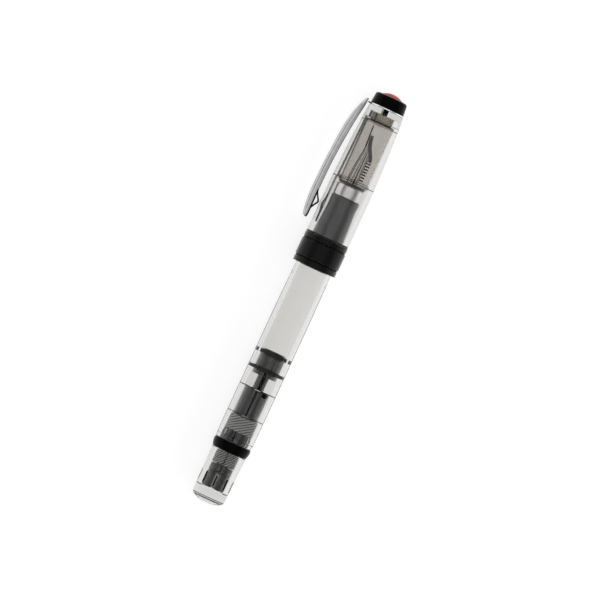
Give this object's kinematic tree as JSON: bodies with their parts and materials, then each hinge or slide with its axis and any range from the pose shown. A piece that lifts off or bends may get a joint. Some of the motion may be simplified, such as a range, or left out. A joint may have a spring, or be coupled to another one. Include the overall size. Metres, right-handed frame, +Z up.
{
  "type": "fountain pen",
  "caption": "Capped fountain pen with clear barrel, cap and turning knob over a screw-driven piston, dark grip, steel nib in a smoky liner, black cap band and sprung metal clip.",
  "frame": {"origin": "middle of the narrow flat on the cap band that the pen lies on", "axes": "+X along the pen toward the knob, the cap toward -X; +Z up from the table; the clip lies low on the -Y side and touches the table"},
  "size_m": [0.1415, 0.0171, 0.0148],
  "materials": {
    "clear_plastic": "clear, polished",
    "smoke_plastic": "dark smoke, semi-gloss",
    "smoke_clear": "translucent smoke, satin",
    "grip_plastic": "dark grey, gloss",
    "black_gloss": "black, gloss",
    "black_plastic": "black, matt",
    "black_rubber": "black, matt",
    "black_steel": "blackened",
    "chrome": "polished",
    "nib_steel": "polished, fine grain",
    "red_enamel": "red, gloss"
  },
  "bodies": {
    "pen_body": {"barrel": "clear_plastic", "section": "grip_plastic", "section_o_ring": "black_rubber", "section_trim_ring": "chrome", "nib_housing": "smoke_plastic", "nib": "nib_steel", "feed": "black_plastic", "guide_collar": "smoke_plastic", "end_ring": "black_gloss", "knob_o_ring": "black_rubber"},
    "spindle": {"spindle": "smoke_plastic"},
    "knob": {"knob": "clear_plastic"},
    "piston": {"piston_rod": "smoke_plastic", "piston_head": "smoke_plastic", "rear_seal": "black_rubber", "front_seal": "black_rubber"},
    "inner_cap": {"inner_cap": "smoke_clear"},
    "cap": {"cap_tube": "clear_plastic", "band_lower_ring": "black_gloss", "cap_band": "black_gloss", "band_upper_ring": "black_gloss", "finial_screw": "black_steel", "clip_washer": "chrome", "finial": "black_gloss", "finial_inlay": "red_enamel"},
    "clip": {"clip": "chrome"}
  },
  "joints": [
    {"name": "knob_turn", "type": "hinge", "parent": "pen_body", "child": "spindle", "pos_m": [0.0775, 0, 0.0074], "axis": [1, 0, 0], "range_deg": [0, 1621]},
    {"name": "knob_rise", "type": "slide", "parent": "spindle", "child": "knob", "axis": [1, 0, 0], "range_m": [0, 0.0034]},
    {"name": "piston_slide", "type": "slide", "parent": "pen_body", "child": "piston", "axis": [-1, 0, 0], "range_m": [0, 0.025]},
    {"name": "cap_pull", "type": "slide", "parent": "pen_body", "child": "inner_cap", "axis": [-1, 0, 0], "range_m": [0, 0.06]},
    {"name": "cap_turn", "type": "hinge", "parent": "inner_cap", "child": "cap", "pos_m": [-0.02, 0, 0.0074], "axis": [-1, 0, 0], "range_deg": [0, 540]},
    {"name": "clip_flex", "type": "hinge", "parent": "cap", "child": "clip", "pos_m": [-0.04995, -0.00533, 0.00377], "axis": [0, 0.5633, -0.8263], "range_deg": [0, 4], "stiffness_Nm_per_rad": 3}
  ],
  "couplings": [
    {"joint": "knob_turn", "follows": "piston_slide", "rad_per_m": 1131},
    {"joint": "knob_rise", "follows": "piston_slide", "ratio": 0.135}
  ]
}
